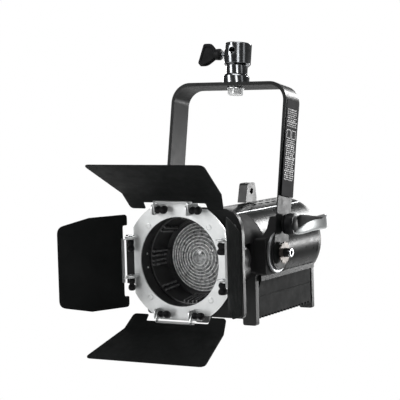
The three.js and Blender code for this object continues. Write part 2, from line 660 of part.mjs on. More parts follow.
buildReceiver();
const armFace = buildYoke();
buildLever(armFace);
buildCasing();
buildPivots(armFace);
buildOptics();
buildRing();
buildLeaves();
buildInside();
buildRear();

export default fresnel;
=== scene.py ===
"""A small LED fresnel spotlight with barn doors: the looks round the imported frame.

Pieces are written in millimetres in the frame they sit in (yoke, head or barn-door station) and placed
in metres in the row frame.
"""
import math
import random

import bmesh
import bpy
from mathutils import Matrix, Vector


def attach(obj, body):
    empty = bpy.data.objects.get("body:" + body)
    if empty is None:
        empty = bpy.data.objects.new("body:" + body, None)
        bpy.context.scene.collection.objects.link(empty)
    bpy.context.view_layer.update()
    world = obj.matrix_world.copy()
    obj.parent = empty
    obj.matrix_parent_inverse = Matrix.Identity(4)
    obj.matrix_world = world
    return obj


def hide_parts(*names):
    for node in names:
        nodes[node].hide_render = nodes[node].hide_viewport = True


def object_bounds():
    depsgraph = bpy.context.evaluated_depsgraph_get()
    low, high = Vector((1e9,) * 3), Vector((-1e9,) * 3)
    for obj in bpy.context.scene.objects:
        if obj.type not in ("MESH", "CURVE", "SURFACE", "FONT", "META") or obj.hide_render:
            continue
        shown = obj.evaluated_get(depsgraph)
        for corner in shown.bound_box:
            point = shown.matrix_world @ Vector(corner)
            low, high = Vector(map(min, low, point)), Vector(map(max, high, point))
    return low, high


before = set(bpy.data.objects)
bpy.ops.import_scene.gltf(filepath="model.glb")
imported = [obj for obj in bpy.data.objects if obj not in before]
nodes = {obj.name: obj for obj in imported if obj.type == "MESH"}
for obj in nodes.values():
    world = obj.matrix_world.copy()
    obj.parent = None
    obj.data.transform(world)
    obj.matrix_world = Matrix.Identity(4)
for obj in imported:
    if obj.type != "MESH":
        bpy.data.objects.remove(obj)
cad_box = [list(corner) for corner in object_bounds()]

# ---------- dimensions, millimetres ----------
MM = 0.001
RECEIVER_TOP = 284
HEAD_TILT = 10.7
OPTIC_DROP = 1.5

# clamp, yoke and lever
CLAMP_Z = 270
CLAMP_TURN = -22
ARM_FACE = 88.75
YOKE_THICK = 4.7
LABEL_HALF = 17
LABEL_BOTTOM = 74.5
LABEL_TOP = 203
LEVER_Z = 38
LEVER_FACE = ARM_FACE + 0.3

# pivots and casing
PIVOT_DISC_FACE = ARM_FACE - YOKE_THICK - 3
PIVOT_BOLT_END = 100.7
STRIP_RADIUS = 60.35
STRIP_START = -30
RAIL_RADIUS = 60.9
REAR_FACE = 175.5
FLANGE_FRONT = -86

# barrel and lens
BARREL_BACK = -54.5
LENS_RIM = -61.6
LENS_EDGE = 45.5
LENS_CORE = 10.5
LENS_ZONES = 8
LENS_SAG = 8.6
STEP_RISE = 0.9

# barn door
RING_Y = -122.6
RING_THICK = 2
RING_RADIUS = 80.8
RING_FLAT = 68.4
LUG_REACH = 76
LEFT_LUG_REACH = 80.5
APERTURE = 58.3
SLEEVE_INNER = 59.3
HINGE_RADIUS = 68
HINGE_Y = -131
HINGE_HOLE = 2.3
EAR_A = -30
EAR_B = 21
EAR = 1.6
LEAF_THICK = 1.2

# heights inside and at the rear
ZOOM_Z = -30
FAN_Z = 5
KEY_Z = 28
DATA_Z = -66

CAMERA_PLACE = (1.0398, -1.8814, -0.3957)
CAMERA_TURN = (94.740, -3.743, 29.648)
CAMERA_LENS = 142.73


def turn_about(axis, degrees):
    return Matrix.Rotation(math.radians(degrees), 4, axis)


TILT = Matrix.Translation((0, 0, -RECEIVER_TOP * MM))
HEAD = TILT @ turn_about("X", HEAD_TILT)
OPTIC = HEAD @ Matrix.Translation((0, 0, -OPTIC_DROP * MM))

# turn about the optical axis, hand, opening angle, large leaf
STATIONS = {
    "top": (0, 1, 57, True),
    "bottom": (180, -1, 46, True),
    "right": (90, 1, 34.5, False),
    "left": (-90, -1, 21.5, False),
}

# for a large leaf and a small one: height over the hinge, distances to bend and tip, bend angle, near edge,
# and half widths at near edge, bend and tip
LEAF_SIZES = {
    True: (4.5, 22, 101.5, 26, -2.3, (69, 74, 88)),
    False: (5.5, 60.5, 106.5, -7.5, 0.8, (60.8, 60.8, 51.3)),
}


# ---------- shapes: each is (points, faces) in millimetres ----------
def turned(rows, steps=72):
    """Rows of (radius, station) spun about the Y axis, the last row joined to the first."""
    points, faces, rings = [], [], []
    for radius, station in rows:
        if radius < 1e-6:
            rings.append([len(points)])
            points.append((0, station, 0))
            continue
        rings.append(list(range(len(points), len(points) + steps)))
        for i in range(steps):
            angle = 2 * math.pi * i / steps
            points.append((radius * math.cos(angle), station, radius * math.sin(angle)))
    for near, far in zip(rings, rings[1:] + rings[:1]):
        for i in range(steps):
            j = (i + 1) % steps
            corners = [near[i % len(near)], near[j % len(near)], far[j % len(far)], far[i % len(far)]]
            face = list(dict.fromkeys(corners))
            if len(face) > 2:
                faces.append(face)
    return points, faces


def slab(outlines, start, end, plane="XZ"):
    """Flat outlines (the first outside, the rest holes) given thickness from start to end."""
    curve = bpy.data.curves.new("outline", "CURVE")
    curve.dimensions = "2D"
    curve.fill_mode = "BOTH"
    curve.extrude = (end - start) / 2
    for outline in outlines:
        spline = curve.splines.new("POLY")
        spline.points.add(len(outline) - 1)
        for point, (u, v) in zip(spline.points, outline):
            point.co = (u, v, 0, 1)
        spline.use_cyclic_u = True
    holder = bpy.data.objects.new("outline", curve)
    mesh = bpy.data.meshes.new_from_object(holder)
    middle = (start + end) / 2
    places = {
        "XZ": lambda p: (p.x, p.z + middle, p.y),
        "YZ": lambda p: (p.z + middle, p.x, p.y),
        "XY": lambda p: (p.x, p.y, p.z + middle),
    }
    points = [places[plane](v.co) for v in mesh.vertices]
    faces = [list(f.vertices) for f in mesh.polygons]
    bpy.data.objects.remove(holder)
    bpy.data.curves.remove(curve)
    bpy.data.meshes.remove(mesh)
    return points, faces


def moved(shape, matrix):
    points, faces = shape
    return [tuple(matrix @ Vector(p)) for p in points], faces


def shifted(shape, x=0, y=0, z=0):
    return moved(shape, Matrix.Translation((x, y, z)))


def along_x(shape):
    """A turned shape with its axis along +X instead of +Y."""
    return moved(shape, turn_about("Z", -90))


def arc(u, v, radius, start, end, count=24):
    angles = [math.radians(start + (end - start) * i / count) for i in range(count + 1)]
    return [(u + radius * math.cos(angle), v + radius * math.sin(angle)) for angle in angles]


def circle(u, v, radius, count=48):
    return arc(u, v, radius, 0, 360, count)[:-1]


def rounded(corners, radius=0.0, steps=6):
    """A polygon with rounded corners; a corner is (u, v) or (u, v, radius)."""
    points = []
    count = len(corners)
    for i, corner in enumerate(corners):
        here = Vector(corner[:2])
        size = corner[2] if len(corner) > 2 else radius
        if size <= 0:
            points.append(tuple(here))
            continue
        start = here + (Vector(corners[i - 1][:2]) - here).normalized() * size
        end = here + (Vector(corners[(i + 1) % count][:2]) - here).normalized() * size
        for k in range(steps + 1):
            t = k / steps
            points.append(tuple(start * (1 - t) ** 2 + here * 2 * t * (1 - t) + end * t * t))
    return points


def block(x0, x1, y0, y1, z0, z1):
    return slab([[(x0, z0), (x1, z0), (x1, z1), (x0, z1)]], y0, y1)


def loft(sections, rounds=12):
    """Capped oval sections along a path: each is (centre, two half sizes, their two directions)."""
    points, faces = [], []
    for centre, a, b, first, second in sections:
        for i in range(rounds):
            angle = 2 * math.pi * i / rounds
            c = math.copysign(abs(math.cos(angle)) ** 0.7, math.cos(angle))
            s = math.copysign(abs(math.sin(angle)) ** 0.7, math.sin(angle))
            points.append(tuple(Vector(centre) + Vector(first) * a * c + Vector(second) * b * s))
    for k in range(len(sections) - 1):
        for i in range(rounds):
            j = (i + 1) % rounds
            base = k * rounds
            faces.append([base + i, base + j, base + rounds + j, base + rounds + i])
    faces.append(list(range(rounds)))
    last = (len(sections) - 1) * rounds
    faces.append(list(range(last, last + rounds)))
    return points, faces


# ---------- shading modifiers ----------
def smoothing_group():
    """Smooth faces everywhere, sharp edges where two faces meet at more than the angle."""
    group = bpy.data.node_groups.new("smooth_by_angle", "GeometryNodeTree")
    group.interface.new_socket("Geometry", in_out="INPUT", socket_type="NodeSocketGeometry")
    group.interface.new_socket("Angle", in_out="INPUT", socket_type="NodeSocketFloat")
    group.interface.new_socket("Geometry", in_out="OUTPUT", socket_type="NodeSocketGeometry")
    enter = group.nodes.new("NodeGroupInput")
    leave = group.nodes.new("NodeGroupOutput")
    faces = group.nodes.new("GeometryNodeSetShadeSmooth")
    faces.domain = "FACE"
    edges = group.nodes.new("GeometryNodeSetShadeSmooth")
    edges.domain = "EDGE"
    edges.inputs["Shade Smooth"].default_value = False
    angle = group.nodes.new("GeometryNodeInputMeshEdgeAngle")
    over = group.nodes.new("FunctionNodeCompare")
    over.data_type = "FLOAT"
    over.operation = "GREATER_THAN"
    link = group.links.new
    link(enter.outputs["Geometry"], faces.inputs["Geometry"])
    link(faces.outputs["Geometry"], edges.inputs["Geometry"])
    link(angle.outputs["Unsigned Angle"], over.inputs["A"])
    link(enter.outputs["Angle"], over.inputs["B"])
    link(over.outputs["Result"], edges.inputs["Selection"])
    link(edges.outputs["Geometry"], leave.inputs["Geometry"])
    return group


SMOOTHING = smoothing_group()
ANGLE_SOCKET = next(s.identifier for s in SMOOTHING.interface.items_tree
                    if s.name == "Angle" and s.in_out == "INPUT")


def dress(piece, bevel=0.3, corner=30, sharp=40):
    """Rounded edges and clean shading on a CAD node or a made piece."""
    weld = piece.modifiers.new("weld", "WELD")
    weld.merge_threshold = 0.00001
    if bevel:
        round_off = piece.modifiers.new("bevel", "BEVEL")
        round_off.width = bevel * MM
        round_off.segments = 2
        round_off.limit_method = "ANGLE"
        round_off.angle_limit = math.radians(corner)
        round_off.use_clamp_overlap = True
    smooth = piece.modifiers.new("smooth", "NODES")
    smooth.node_group = SMOOTHING
    smooth[ANGLE_SOCKET] = math.radians(sharp)
    normals = piece.modifiers.new("normals", "WEIGHTED_NORMAL")
    normals.keep_sharp = True
    return piece


def make(name, shapes, place, body, material, replaces=(), bevel=0.3, corner=30, sharp=40):
    """One piece from one or more shapes, riding on a body."""
    mesh = bpy.data.meshes.new(name)
    build = bmesh.new()
    for points, faces in shapes:
        corners = [build.verts.new(place @ (Vector(p) * MM)) for p in points]
        for face in faces:
            build.faces.new([corners[i] for i in face])
    bmesh.ops.remove_doubles(build, verts=build.verts, dist=0.000002)
    bmesh.ops.recalc_face_normals(build, faces=build.faces)
    build.to_mesh(mesh)
    build.free()
    mesh.materials.append(material)
    piece = bpy.data.objects.new(name, mesh)
    bpy.context.collection.objects.link(piece)
    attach(piece, body)
    if replaces:
        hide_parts(*replaces)
    return dress(piece, bevel, corner, sharp)


# ---------- materials ----------
def painter(name):
    material = bpy.data.materials.new(name)
    material.use_nodes = True
    tree = material.node_tree
    shader = tree.nodes["Principled BSDF"]
    place = tree.nodes.new("ShaderNodeTexCoord")
    return material, tree, shader, place.outputs["Object"]


def noise(tree, where, scale, detail=2.0, rough=0.5):
    texture = tree.nodes.new("ShaderNodeTexNoise")
    texture.inputs["Scale"].default_value = scale
    texture.inputs["Detail"].default_value = detail
    texture.inputs["Roughness"].default_value = rough
    tree.links.new(where, texture.inputs["Vector"])
    return texture.outputs["Fac"]


def ranged(tree, value, low, high, start=0.3, end=0.7):
    node = tree.nodes.new("ShaderNodeMapRange")
    node.inputs["From Min"].default_value = start
    node.inputs["From Max"].default_value = end
    node.inputs["To Min"].default_value = low
    node.inputs["To Max"].default_value = high
    tree.links.new(value, node.inputs["Value"])
    return node.outputs["Result"]


def mixed(tree, value, low, high):
    """A blend of two colours. In the mix node, inputs 6 and 7 and output 2 are the colour sockets."""
    node = tree.nodes.new("ShaderNodeMix")
    node.data_type = "RGBA"
    node.inputs[6].default_value = (*low, 1)
    node.inputs[7].default_value = (*high, 1)
    tree.links.new(value, node.inputs[0])
    return node.outputs[2]


def relief(tree, shader, height, strength, distance):
    bump = tree.nodes.new("ShaderNodeBump")
    bump.inputs["Strength"].default_value = strength
    bump.inputs["Distance"].default_value = distance
    tree.links.new(height, bump.inputs["Height"])
    tree.links.new(bump.outputs["Normal"], shader.inputs["Normal"])


def finish_of(name, low, high, rough, metallic=0.0, grain=900, depth=0.2, blotch=25, specular=0.5):
    """A surface whose colour drifts between two tones, with varied gloss and a fine relief."""
    material, tree, shader, where = painter(name)
    drift = ranged(tree, noise(tree, where, blotch, 4, 0.6), 0, 1)
    tree.links.new(mixed(tree, drift, low, high), shader.inputs["Base Color"])
    gloss = ranged(tree, noise(tree, where, blotch * 3.1, 5, 0.65), rough[0], rough[1])
    tree.links.new(gloss, shader.inputs["Roughness"])
    relief(tree, shader, noise(tree, where, grain, 3, 0.6), depth, 0.0002)
    shader.inputs["Metallic"].default_value = metallic
    shader.inputs["Specular IOR Level"].default_value = specular
    return material


# painted, cast and moulded blacks
PAINT = finish_of("powder_coat", (0.004, 0.0045, 0.0045), (0.008, 0.0085, 0.0085), (0.3, 0.42),
                  grain=1100, specular=0.07)
CAST = finish_of("cast_powder_coat", (0.007, 0.0075, 0.0075), (0.013, 0.0135, 0.0135), (0.32, 0.46),
                 grain=700, depth=0.3, specular=0.25)
CASING = finish_of("casing_coat", (0.006, 0.0065, 0.0065), (0.010, 0.0105, 0.0105), (0.24, 0.34),
                   grain=1000, depth=0.1, specular=0.06)
BASE = finish_of("base_coat", (0.005, 0.0055, 0.0055), (0.009, 0.0095, 0.0095), (0.55, 0.7),
                 grain=1000, depth=0.1, specular=0.05)
# darkest black; on the left lug it is painted shade
SHADED = finish_of("dull_black_and_painted_shade", (0.003, 0.003, 0.0032), (0.005, 0.005, 0.0053), (0.65, 0.78),
                   specular=0.15)
LEAF = finish_of("leaf_coat", (0.004, 0.0045, 0.0045), (0.007, 0.0075, 0.0075), (0.5, 0.68),
                 grain=1300, depth=0.3, specular=0.05)
BARREL = finish_of("barrel_coat", (0.004, 0.004, 0.0042), (0.008, 0.008, 0.0085), (0.3, 0.45))
BOSS = finish_of("boss_coat", (0.012, 0.012, 0.0125), (0.02, 0.02, 0.021), (0.28, 0.4))
# the ribs' grey colour is painted highlight for light caught in the throat
RIB_PAINTED_HIGHLIGHT = finish_of("rib_coat_painted_highlight", (0.05, 0.05, 0.051), (0.09, 0.09, 0.092), (0.2, 0.34), specular=0.9)
PLASTIC = finish_of("black_nylon", (0.005, 0.005, 0.0055), (0.008, 0.008, 0.0085), (0.34, 0.5),
                    grain=1600, specular=0.08)
# metals
PLATE = finish_of("zinc_plate", (0.42, 0.43, 0.43), (0.55, 0.56, 0.56), (0.34, 0.5), 0.75,
                  grain=1500, blotch=30)
STEEL = finish_of("bright_steel", (0.42, 0.43, 0.44), (0.6, 0.61, 0.62), (0.2, 0.34), 1.0,
                  grain=600, depth=0.06, blotch=60)
BRIGHT = finish_of("plated_bolt", (0.7, 0.71, 0.71), (0.82, 0.83, 0.83), (0.2, 0.36), 0.7,
                   grain=500, depth=0.05, blotch=60)
LEVER = finish_of("polished_lever", (0.24, 0.25, 0.25), (0.34, 0.35, 0.35), (0.3, 0.4), 0.9,
                  grain=500, depth=0.02, blotch=20)
DISC = finish_of("machined_disc", (0.22, 0.225, 0.23), (0.32, 0.325, 0.33), (0.3, 0.45), 0.9,
                 depth=0.08, blotch=40)
CHROME = finish_of("dark_chrome", (0.1, 0.105, 0.11), (0.18, 0.185, 0.19), (0.12, 0.24), 1.0,
                   grain=300, depth=0.04, blotch=40)
BRONZE = finish_of("bronze_washer", (0.045, 0.038, 0.034), (0.085, 0.074, 0.066), (0.34, 0.48), 0.8,
                   grain=500, depth=0.05, blotch=90)
# label, electronics and painted highlight on the steps of the lens
LABEL = finish_of("label_film", (0.012, 0.012, 0.013), (0.018, 0.018, 0.019), (0.7, 0.8),
                  grain=200, depth=0.05, specular=0.08)
MARKS = finish_of("label_ink", (0.3, 0.3, 0.3), (0.38, 0.38, 0.38), (0.4, 0.5), grain=400, depth=0.05)
BOARD = finish_of("circuit_board", (0.02, 0.06, 0.035), (0.03, 0.09, 0.05), (0.4, 0.55),
                  grain=300, depth=0.1)
PHOSPHOR = finish_of("phosphor", (0.62, 0.46, 0.07), (0.72, 0.55, 0.1), (0.45, 0.6))
# pale rings on the lens steps: painted highlight
RISER_HIGHLIGHT = finish_of("lens_step_highlights", (0.12, 0.125, 0.125), (1.0, 1.0, 1.0), (0.25, 0.45),
                  grain=700, depth=0.3, blotch=300)


def lens_glass():
    """Clear glass with a speckled tint and a rippled surface."""
    material, tree, shader, where = painter("lens_glass")
    speckle = ranged(tree, noise(tree, where, 240, 4), 0, 1)
    tint = mixed(tree, speckle, (0.12, 0.125, 0.125), (0.85, 0.87, 0.87))
    tree.links.new(tint, shader.inputs["Base Color"])
    gloss = ranged(tree, noise(tree, where, 260, 3), 0.02, 0.09)
    tree.links.new(gloss, shader.inputs["Roughness"])
    relief(tree, shader, noise(tree, where, 420, 3), 0.5, 0.0004)
    shader.inputs["Transmission Weight"].default_value = 0.55
    shader.inputs["IOR"].default_value = 1.49
    return material


def display_glass():
    material, tree, shader, where = painter("display_glass")
    tint = mixed(tree, noise(tree, where, 80), (0.004, 0.006, 0.009), (0.007, 0.01, 0.014))
    tree.links.new(tint, shader.inputs["Base Color"])
    shader.inputs["Roughness"].default_value = 0.08
    shader.inputs["Coat Weight"].default_value = 0.6
    return material


GLASS = lens_glass()
DISPLAY = display_glass()


def paint_node(name, material, bevel, corner=34):
    """A CAD node that stays, with its own material and rounded edges."""
    node = nodes[name]
    node.data.materials.clear()
    node.data.materials.append(material)
    dress(node, bevel, corner, 38)


# ---------- receiver and clamp ----------
def receiver_pieces():
    paint_node("spigot_receiver", CHROME, 0.5, 35)
    paint_node("spacer_collar", CHROME, 0.4, 35)
    paint_node("hanger_washer", BRIGHT, 0.3, 35)
    paint_node("hanger_bolt", BRIGHT, 0.5, 35)


def clamp_pieces():
    """The T-handle with its hub, and its thread."""
    place = TILT @ Matrix.Translation((0, 0, CLAMP_Z * MM)) @ turn_about("X", CLAMP_TURN)
    outline = rounded([(-57, -16.5, 3), (-44, -16.5, 5), (-33, -5.5, 3), (-33, 5.5, 3), (-44, 16.5, 5),
                       (-57, 16.5, 3)])
    hollow = rounded([(-54, -12, 2), (-45, -12, 3), (-39, -5, 2), (-39, 5, 2), (-45, 12, 3), (-54, 12, 2)])
    wing = slab([outline], -2.2, 2.2)
    rim = slab([outline, hollow], -3.3, 3.3)
    hub_end = -24.6
    hub = along_x(turned([(0, -38), (6, -37.6), (7.6, -34), (8, -30), (8, -27.5), (6.2, -25),
                          (4.2, hub_end), (0, hub_end)], 48))
    make("clamp_handle", [wing, rim, hub], place, "clamp", PLASTIC, ["clamp_screw"], 0.6)
    rows = [(0, -9)]
    pitch = 1.08
    for k in range(14):
        y = -9.4 - k * pitch
        rows += [(3.9, y), (3.35, y - pitch / 2)]
    rows.append((0, hub_end))
    make("clamp_thread", [along_x(turned(rows, 32))], place, "clamp", STEEL, bevel=0)


# ---------- yoke and label ----------
def yoke_pieces():
    paint_node("yoke", PAINT, 0.7, 35)
    paint_node("clamp_stud", PAINT, 0.3, 35)
    for side in ("right", "left"):
        paint_node(f"friction_disc_{side}", PLASTIC, 0.3, 35)


def label_pieces():
    """A dark panel with short plain dashes and two empty boxes in place of any lettering."""
    corners = [(-LABEL_HALF, LABEL_BOTTOM), (LABEL_HALF, LABEL_BOTTOM), (LABEL_HALF, LABEL_TOP),
               (-LABEL_HALF, LABEL_TOP)]
    ink = ARM_FACE + 0.4
    panel = slab([rounded(corners, 2)], ARM_FACE + 0.1, ink, "YZ")
    make("label_panel", [panel], TILT, "yoke", LABEL, ["arm_label"], 0)
    marks = []

    def mark(y0, y1, z0, z1):
        marks.append(slab([[(y0, z0), (y1, z0), (y1, z1), (y0, z1)]], ink, ink + 0.05, "YZ"))

    rng = random.Random(7)
    box_rows = range(9, 15)
    for k in range(35):
        if k in box_rows:
            continue
        z = 190 - 2.75 * k
        height = 1.3 if k % 6 else 1.8
        y = -13.5 + 2 * rng.random()
        while y < 11:
            dash = 1.2 + 3.2 * rng.random()
            mark(y, min(y + dash, 14), z, z + height)
            y += dash + 0.9 + 1.4 * rng.random()
    low, high, side, line = 152, 163, 12, 0.9
    for y in (-13, 1):
        mark(y, y + side, low, low + line)
        mark(y, y + side, high, high + line)
        mark(y, y + line, low + line, high)
        mark(y + side - line, y + side, low + line, high)
    make("label_marks", marks, TILT, "yoke", MARKS, bevel=0)


# ---------- tilt lever ----------
def lever_body():
    face = LEVER_FACE
    hub = along_x(turned([
        (5.1, face), (13, face), (13.3, face + 0.4), (13.3, face + 2.2), (11.6, face + 2.6),
        (11.6, face + 3.9), (14.1, face + 4.3), (14.5, face + 4.8), (14.5, face + 12), (13.4, face + 14),
        (10.5, face + 15.8), (6, face + 16.8), (0, face + 17), (0, face + 9), (5.1, face + 9),
    ], 56))
    outline = rounded([(-12, 38, 3), (-12, 47, 4), (17, 50.8, 5), (52, 50.6, 1.5), (36, 44.6, 4),
                       (23, 38, 5), (13, 31, 4), (5, 26, 4), (-6, 24.4, 4)])
    shoulder = slab([outline], face + 5.4, face + 15.4, "YZ")
    make("lever_body", [shifted(hub, z=LEVER_Z), shoulder], TILT, "lever", PLASTIC,
         ["lock_lever"], 0.9)


def swell(piece):
    rounding = piece.modifiers.new("round", "SUBSURF")
    rounding.levels = 2
    rounding.render_levels = 2


def lever_grip():
    """The black cover over the paddle's root: centre, half height and half thickness along it."""
    stations = [
        ((104.5, 2, 41), 9.5, 3.2), ((106.4, 13, 45), 7.4, 3.2), ((108.2, 25, 48.3), 4.8, 3),
        ((109.8, 38, 50.3), 3, 2.8), ((112, 50, 51.8), 1.9, 2.6), ((114.6, 60, 52.8), 1, 2),
    ]
    up = (0, -0.15, 1)
    out = (1, -0.12, 0)
    cover = loft([(centre, half, thick, up, out) for centre, half, thick in stations], 16)
    swell(make("lever_grip", [cover], TILT, "lever", SHADED, bevel=0))


def lever_paddle():
    """The bright metal paddle: centre, half height and half thickness along it."""
    stations = [
        ((103.6, -2, 27), 2.6, 1.3), ((105.6, 7, 29.5), 4.6, 1.6), ((107, 18, 34), 7.2, 1.8),
        ((107.8, 30, 38.6), 8.6, 1.9), ((109.2, 42, 42.6), 9.4, 1.9), ((111.8, 54, 45.6), 10, 1.8),
        ((115.2, 64, 48), 10.6, 1.7), ((117.2, 69.5, 49.4), 10, 1.4),
    ]
    up = Vector((0, -0.25, 1)).normalized()
    sections = []
    for i, (centre, half, thick) in enumerate(stations):
        before = Vector(stations[max(i - 1, 0)][0])
        after = Vector(stations[min(i + 1, len(stations) - 1)][0])
        out = up.cross((after - before).normalized()).normalized()
        sections.append((centre, half, thick, up, out))
    swell(make("lever_paddle", [loft(sections, 16)], TILT, "lever", LEVER, bevel=0))


# ---------- pivots ----------
def hexagon(radius, turn=0):
    angles = [math.radians(60 * i + turn) for i in range(6)]
    return [(radius * math.cos(angle), radius * math.sin(angle)) for angle in angles]


def toothed_outline(teeth, tip, root):
    points = []
    for i in range(teeth):
        middle = 360 * i / teeth
        points += arc(0, 0, tip, middle - 8, middle + 8, 4)
        points += arc(0, 0, root, middle + 13, middle + 17, 1)
    return points


def pivot_pieces():
    """Both pivots: the shapes are written for the right side and mirrored for the left."""
    face = PIVOT_DISC_FACE
    end = PIVOT_BOLT_END
    outline = rounded([(-30, -28, 5), (30, -28, 5), (30, 46, 5), (14, 46, 4), (6, 31, 2), (-10, 21, 2),
                       (-30, 21, 4)])
    casting = slab([outline, circle(0, 0, 6.3, 32)], 61.5, face - 4.2, "YZ")
    web = slab([rounded([(-27, -26, 4), (27, -26, 4), (27, 15), (-27, 15)])], 53, 61.8, "YZ")
    disc = along_x(turned([(6.3, face - 4), (26.4, face - 4), (27, face - 3.4), (27, face - 0.6),
                           (26.4, face), (6.3, face)]))
    shaft = along_x(turned([(0, 63), (6, 63), (6, end - 3), (5.6, end - 2.6), (0, end - 2.6)], 40))
    socket = slab([circle(0, 0, 5.8, 40), hexagon(3.6)], end - 2.8, end, "YZ")
    teeth = toothed_outline(12, 14.7, 12.9)
    washer = slab([teeth, circle(0, 0, 6.2, 40)], ARM_FACE + 0.3, ARM_FACE + 2.1, "YZ")
    # piece, shape, material, slot, replaced node, bevel
    parts = (
        ("pivot_casting", casting, SHADED, "black_cast", None, 0.9),
        ("pivot_web", web, SHADED, "black_cast", None, 0.5),
        ("pivot_disc", disc, DISC, "silver_metal", "pivot_block", 0),
        ("pivot_shaft", shaft, PAINT, "black_paint", None, 0),
        ("pivot_socket", socket, CHROME, "silver_metal", "pivot_bolt", 0.5),
        ("star_washer", washer, BRONZE, "bronze_washer", None, 0.35),
    )
    for side, sign in (("right", 1), ("left", -1)):
        mirror = Matrix.Scale(sign, 4, (1, 0, 0))
        for name, shape, material, slot, node, bevel in parts:
            replaced = [f"{node}_{side}"] if node else ()
            make(f"{name}_{side}", [moved(shape, mirror)], HEAD, "head", material, replaced, bevel)


# ---------- head casing ----------
def casing_nodes():
    for name, material, bevel in (
        ("front_flange", CAST, 1.2), ("front_hood", SHADED, 0.5), ("right_shell", CASING, 0.4),
        ("left_shell", CASING, 0.4), ("front_bulkhead", CAST, 0.9), ("rear_plate", CAST, 0.9),
        ("safety_eye", CAST, 0.9), ("heatsink", BASE, 0.4), ("driver_box", STEEL, 0.5),
        ("fan_frame", PLASTIC, 0.4), ("guide_rod_right", STEEL, 0.3), ("guide_rod_left", STEEL, 0.3),
    ):
        paint_node(name, material, bevel)


def vent_strip():
    """The curved top strip as a grid of cells; the cells left out are the vent slots."""
    cells_along, cell = 60, 3.3
    cells_across, cell_turn = 18, 3.0
    points, faces, index = [], [], {}

    def vertex(i, j):
        if (i, j) not in index:
            angle = math.radians(63 + cell_turn * j)
            x, z = STRIP_RADIUS * math.cos(angle), STRIP_RADIUS * math.sin(angle)
            index[(i, j)] = len(points)
            points.append((x, STRIP_START + cell * i, z))
        return index[(i, j)]

    for i in range(cells_along):
        for j in range(cells_across):
            in_row = i % 6 in (1, 2, 3, 4) and 14 < i < cells_along - 4
            if in_row and j % 3 == 1 and 2 < j < cells_across - 2:
                continue
            faces.append([vertex(i, j), vertex(i + 1, j), vertex(i + 1, j + 1), vertex(i, j + 1)])
    strip = make("vent_strip", [(points, faces)], OPTIC, "head", CASING, ["top_strip"], 0)
    skin = strip.modifiers.new("skin", "SOLIDIFY")
    skin.thickness = 1.3 * MM
    skin.offset = 1
    strip.modifiers.move(len(strip.modifiers) - 1, 1)


def strip_rails():
    """Rolled rails along both edges of the strip."""
    rail = turned([(0, -30), (0.9, -29.8), (0.9, 167.8), (0, 168)], 16)
    for side, degrees in (("right", 62), ("left", 118)):
        angle = math.radians(degrees)
        shape = shifted(rail, x=RAIL_RADIUS * math.cos(angle), z=RAIL_RADIUS * math.sin(angle))
        make(f"strip_rail_{side}", [shape], OPTIC, "head", DISC, bevel=0)


def casing_screws():
    """Cap screws on the rear plate and the front flange."""
    head = turned([(0, 0), (2.9, 0), (3, 0.3), (2.6, 1.5), (1.6, 1.8), (1.5, 0.9), (0, 0.9)], 28)
    rear = ((-52, 20), (52, 20), (-38, 42), (38, 42), (-41, -60), (41, -60))
    front = ((-62, -62), (62, -62), (-62, 44), (62, 44))
    places = [(x, z, REAR_FACE, 1) for x, z in rear]
    places += [(x, z, FLANGE_FRONT, -1) for x, z in front]
    for k, (x, z, y, way) in enumerate(places):
        screw = shifted(moved(head, Matrix.Scale(way, 4, (0, 1, 0))), x=x, y=y, z=z)
        make(f"casing_screw_{k + 1}", [screw], OPTIC, "head", STEEL, bevel=0)


def flange_slots():
    """Two dark slots in the flange's right side."""
    front, back, side = -84.4, -80.6, 73
    slots = []
    for z in (-22, 3):
        outline = rounded([(front, z), (back, z), (back, z + 10), (front, z + 10)], 1.7)
        slots.append(slab([outline], side, side + 0.08, "YZ"))
    make("flange_slots", slots, OPTIC, "head", BARREL, bevel=0)


# ---------- barrel and lens ----------
def barrel_pieces():
    dome = turned([(0, 46), (18, 46), (18, 52), (17.4, 56), (15.6, 59.4), (12, 61.8), (7, 63.1),
                   (0, 63.5)], 48)
    boss = shifted(along_x(dome), y=-54, z=-2.5)
    bosses = [moved(boss, Matrix.Scale(sign, 4, (1, 0, 0))) for sign in (1, -1)]
    make("barrel_bosses", bosses, OPTIC, "head", BOSS, corner=40, sharp=36)
    back = BARREL_BACK
    body = turned([
        (64.2, -97.5), (58.2, -97.5), (57, -97), (52.6, -69), (52, -66.3), (49.2, -66.3), (49.2, back),
        (46, back), (46, -5), (50.5, -5), (50.5, -60), (56.6, -62), (56.6, -79.5), (61.5, -80.5),
        (61.5, -90), (65.9, -90), (66.5, -90.6), (66.5, -112.4), (65.9, -113), (64.6, -113), (64.2, -112.6),
    ], 144)
    make("barrel", [body], OPTIC, "head", BARREL, ["lens_barrel"], corner=40, sharp=36)


def throat_ribs():
    """Ribs down the inside of the throat, in eight groups, and shorter ones round its mouth."""
    groups = 8
    shapes = []
    long_rib = slab([[(59.5, -97), (53.8, -97), (49.6, -68), (55, -67.4)]], -1.2, 1.2, "XY")
    for group in range(groups):
        offsets = (-3.5, 3.5) if group % 2 else (-9.5, -3.5, 3.5, 9.5)
        for offset in offsets:
            shapes.append(moved(long_rib, turn_about("Y", 180 + 45 * group + offset)))
    mouth_rib = slab([[(64.8, -112.6), (61.2, -112.2), (59.8, -97.2), (64.8, -97.2)]], -0.8, 0.8, "XY")
    for offset in (-14, -4.5, 4.5, 14):
        for group in range(groups):
            shapes.append(moved(mouth_rib, turn_about("Y", 180 + 45 * group + offset)))
    # ribs lightened with painted highlight
    make("throat_ribs", shapes, OPTIC, "head", RIB_PAINTED_HIGHLIGHT, corner=40, sharp=36)


